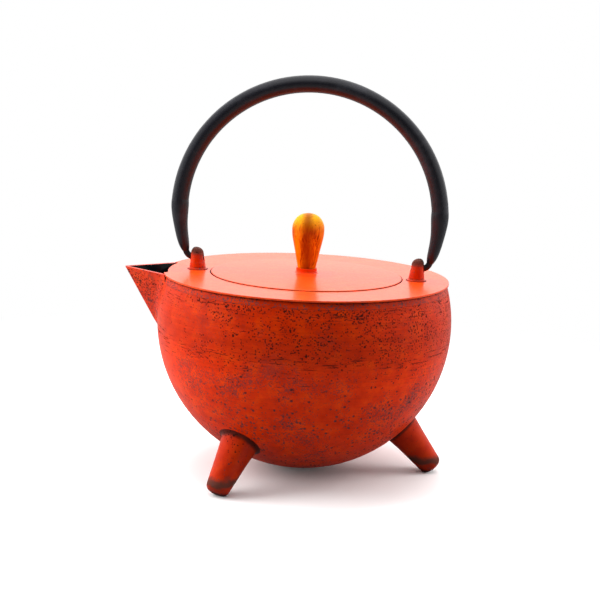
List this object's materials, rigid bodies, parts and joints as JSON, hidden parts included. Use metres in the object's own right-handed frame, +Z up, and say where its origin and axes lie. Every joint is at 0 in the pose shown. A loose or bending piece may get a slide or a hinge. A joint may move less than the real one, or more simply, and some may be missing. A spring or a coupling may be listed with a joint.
{
  "type": "teapot",
  "caption": "Round cast-iron teapot on three splayed feet, with a beak spout, a tall hooked bail, a flush drop-in lid with a wooden knob, and a wire-mesh infuser hung in its mouth.",
  "frame": {"origin": "on the table under the middle of the bowl, in the plane of the three ground feet", "axes": "+Z up; the spout points along -X, so the bail's hooks and both lugs lie on the X axis; +Y completes the right-handed frame"},
  "size_m": [0.1753, 0.156, 0.2083],
  "materials": {
    "painted_iron": "orange-red paint over cast iron, pitted and rubbed back to dark iron",
    "black_enamel": "black vitreous enamel, glossy",
    "black_bail": "black satin coating",
    "lacquered_wood": "turned honey-coloured hardwood under clear lacquer",
    "brass": "turned brass",
    "stainless_steel": "polished stainless steel",
    "stainless_mesh": "fine woven stainless wire mesh"
  },
  "bodies": {
    "pot": {"bowl": "painted_iron", "enamel_lining": "black_enamel", "shoulder": "painted_iron", "spout": "painted_iron", "lug_spout_side": "painted_iron", "lug_rear_side": "painted_iron", "foot_rear": "painted_iron", "foot_front_right": "painted_iron", "foot_front_left": "painted_iron"},
    "bail": {"bail_handle": "black_bail"},
    "infuser": {"infuser_rim": "stainless_steel", "infuser_mesh_wall": "stainless_mesh", "infuser_mesh_base": "stainless_mesh", "infuser_base_hoop": "stainless_steel"},
    "lid": {"lid": "painted_iron", "knob": "lacquered_wood", "knob_insert": "brass", "knob_screw": "stainless_steel", "knob_washer": "stainless_steel"}
  },
  "joints": [
    {"name": "bail_swing", "type": "hinge", "parent": "pot", "child": "bail", "pos_m": [0, 0, 0.11055], "axis": [1, 0, 0], "range_deg": [-91, 91]},
    {"name": "infuser_lift", "type": "slide", "parent": "pot", "child": "infuser", "axis": [0, 0, 1], "range_m": [0, 0.058]},
    {"name": "lid_lift", "type": "slide", "parent": "infuser", "child": "lid", "axis": [0, 0, 1], "range_m": [0, 0.058]}
  ]
}
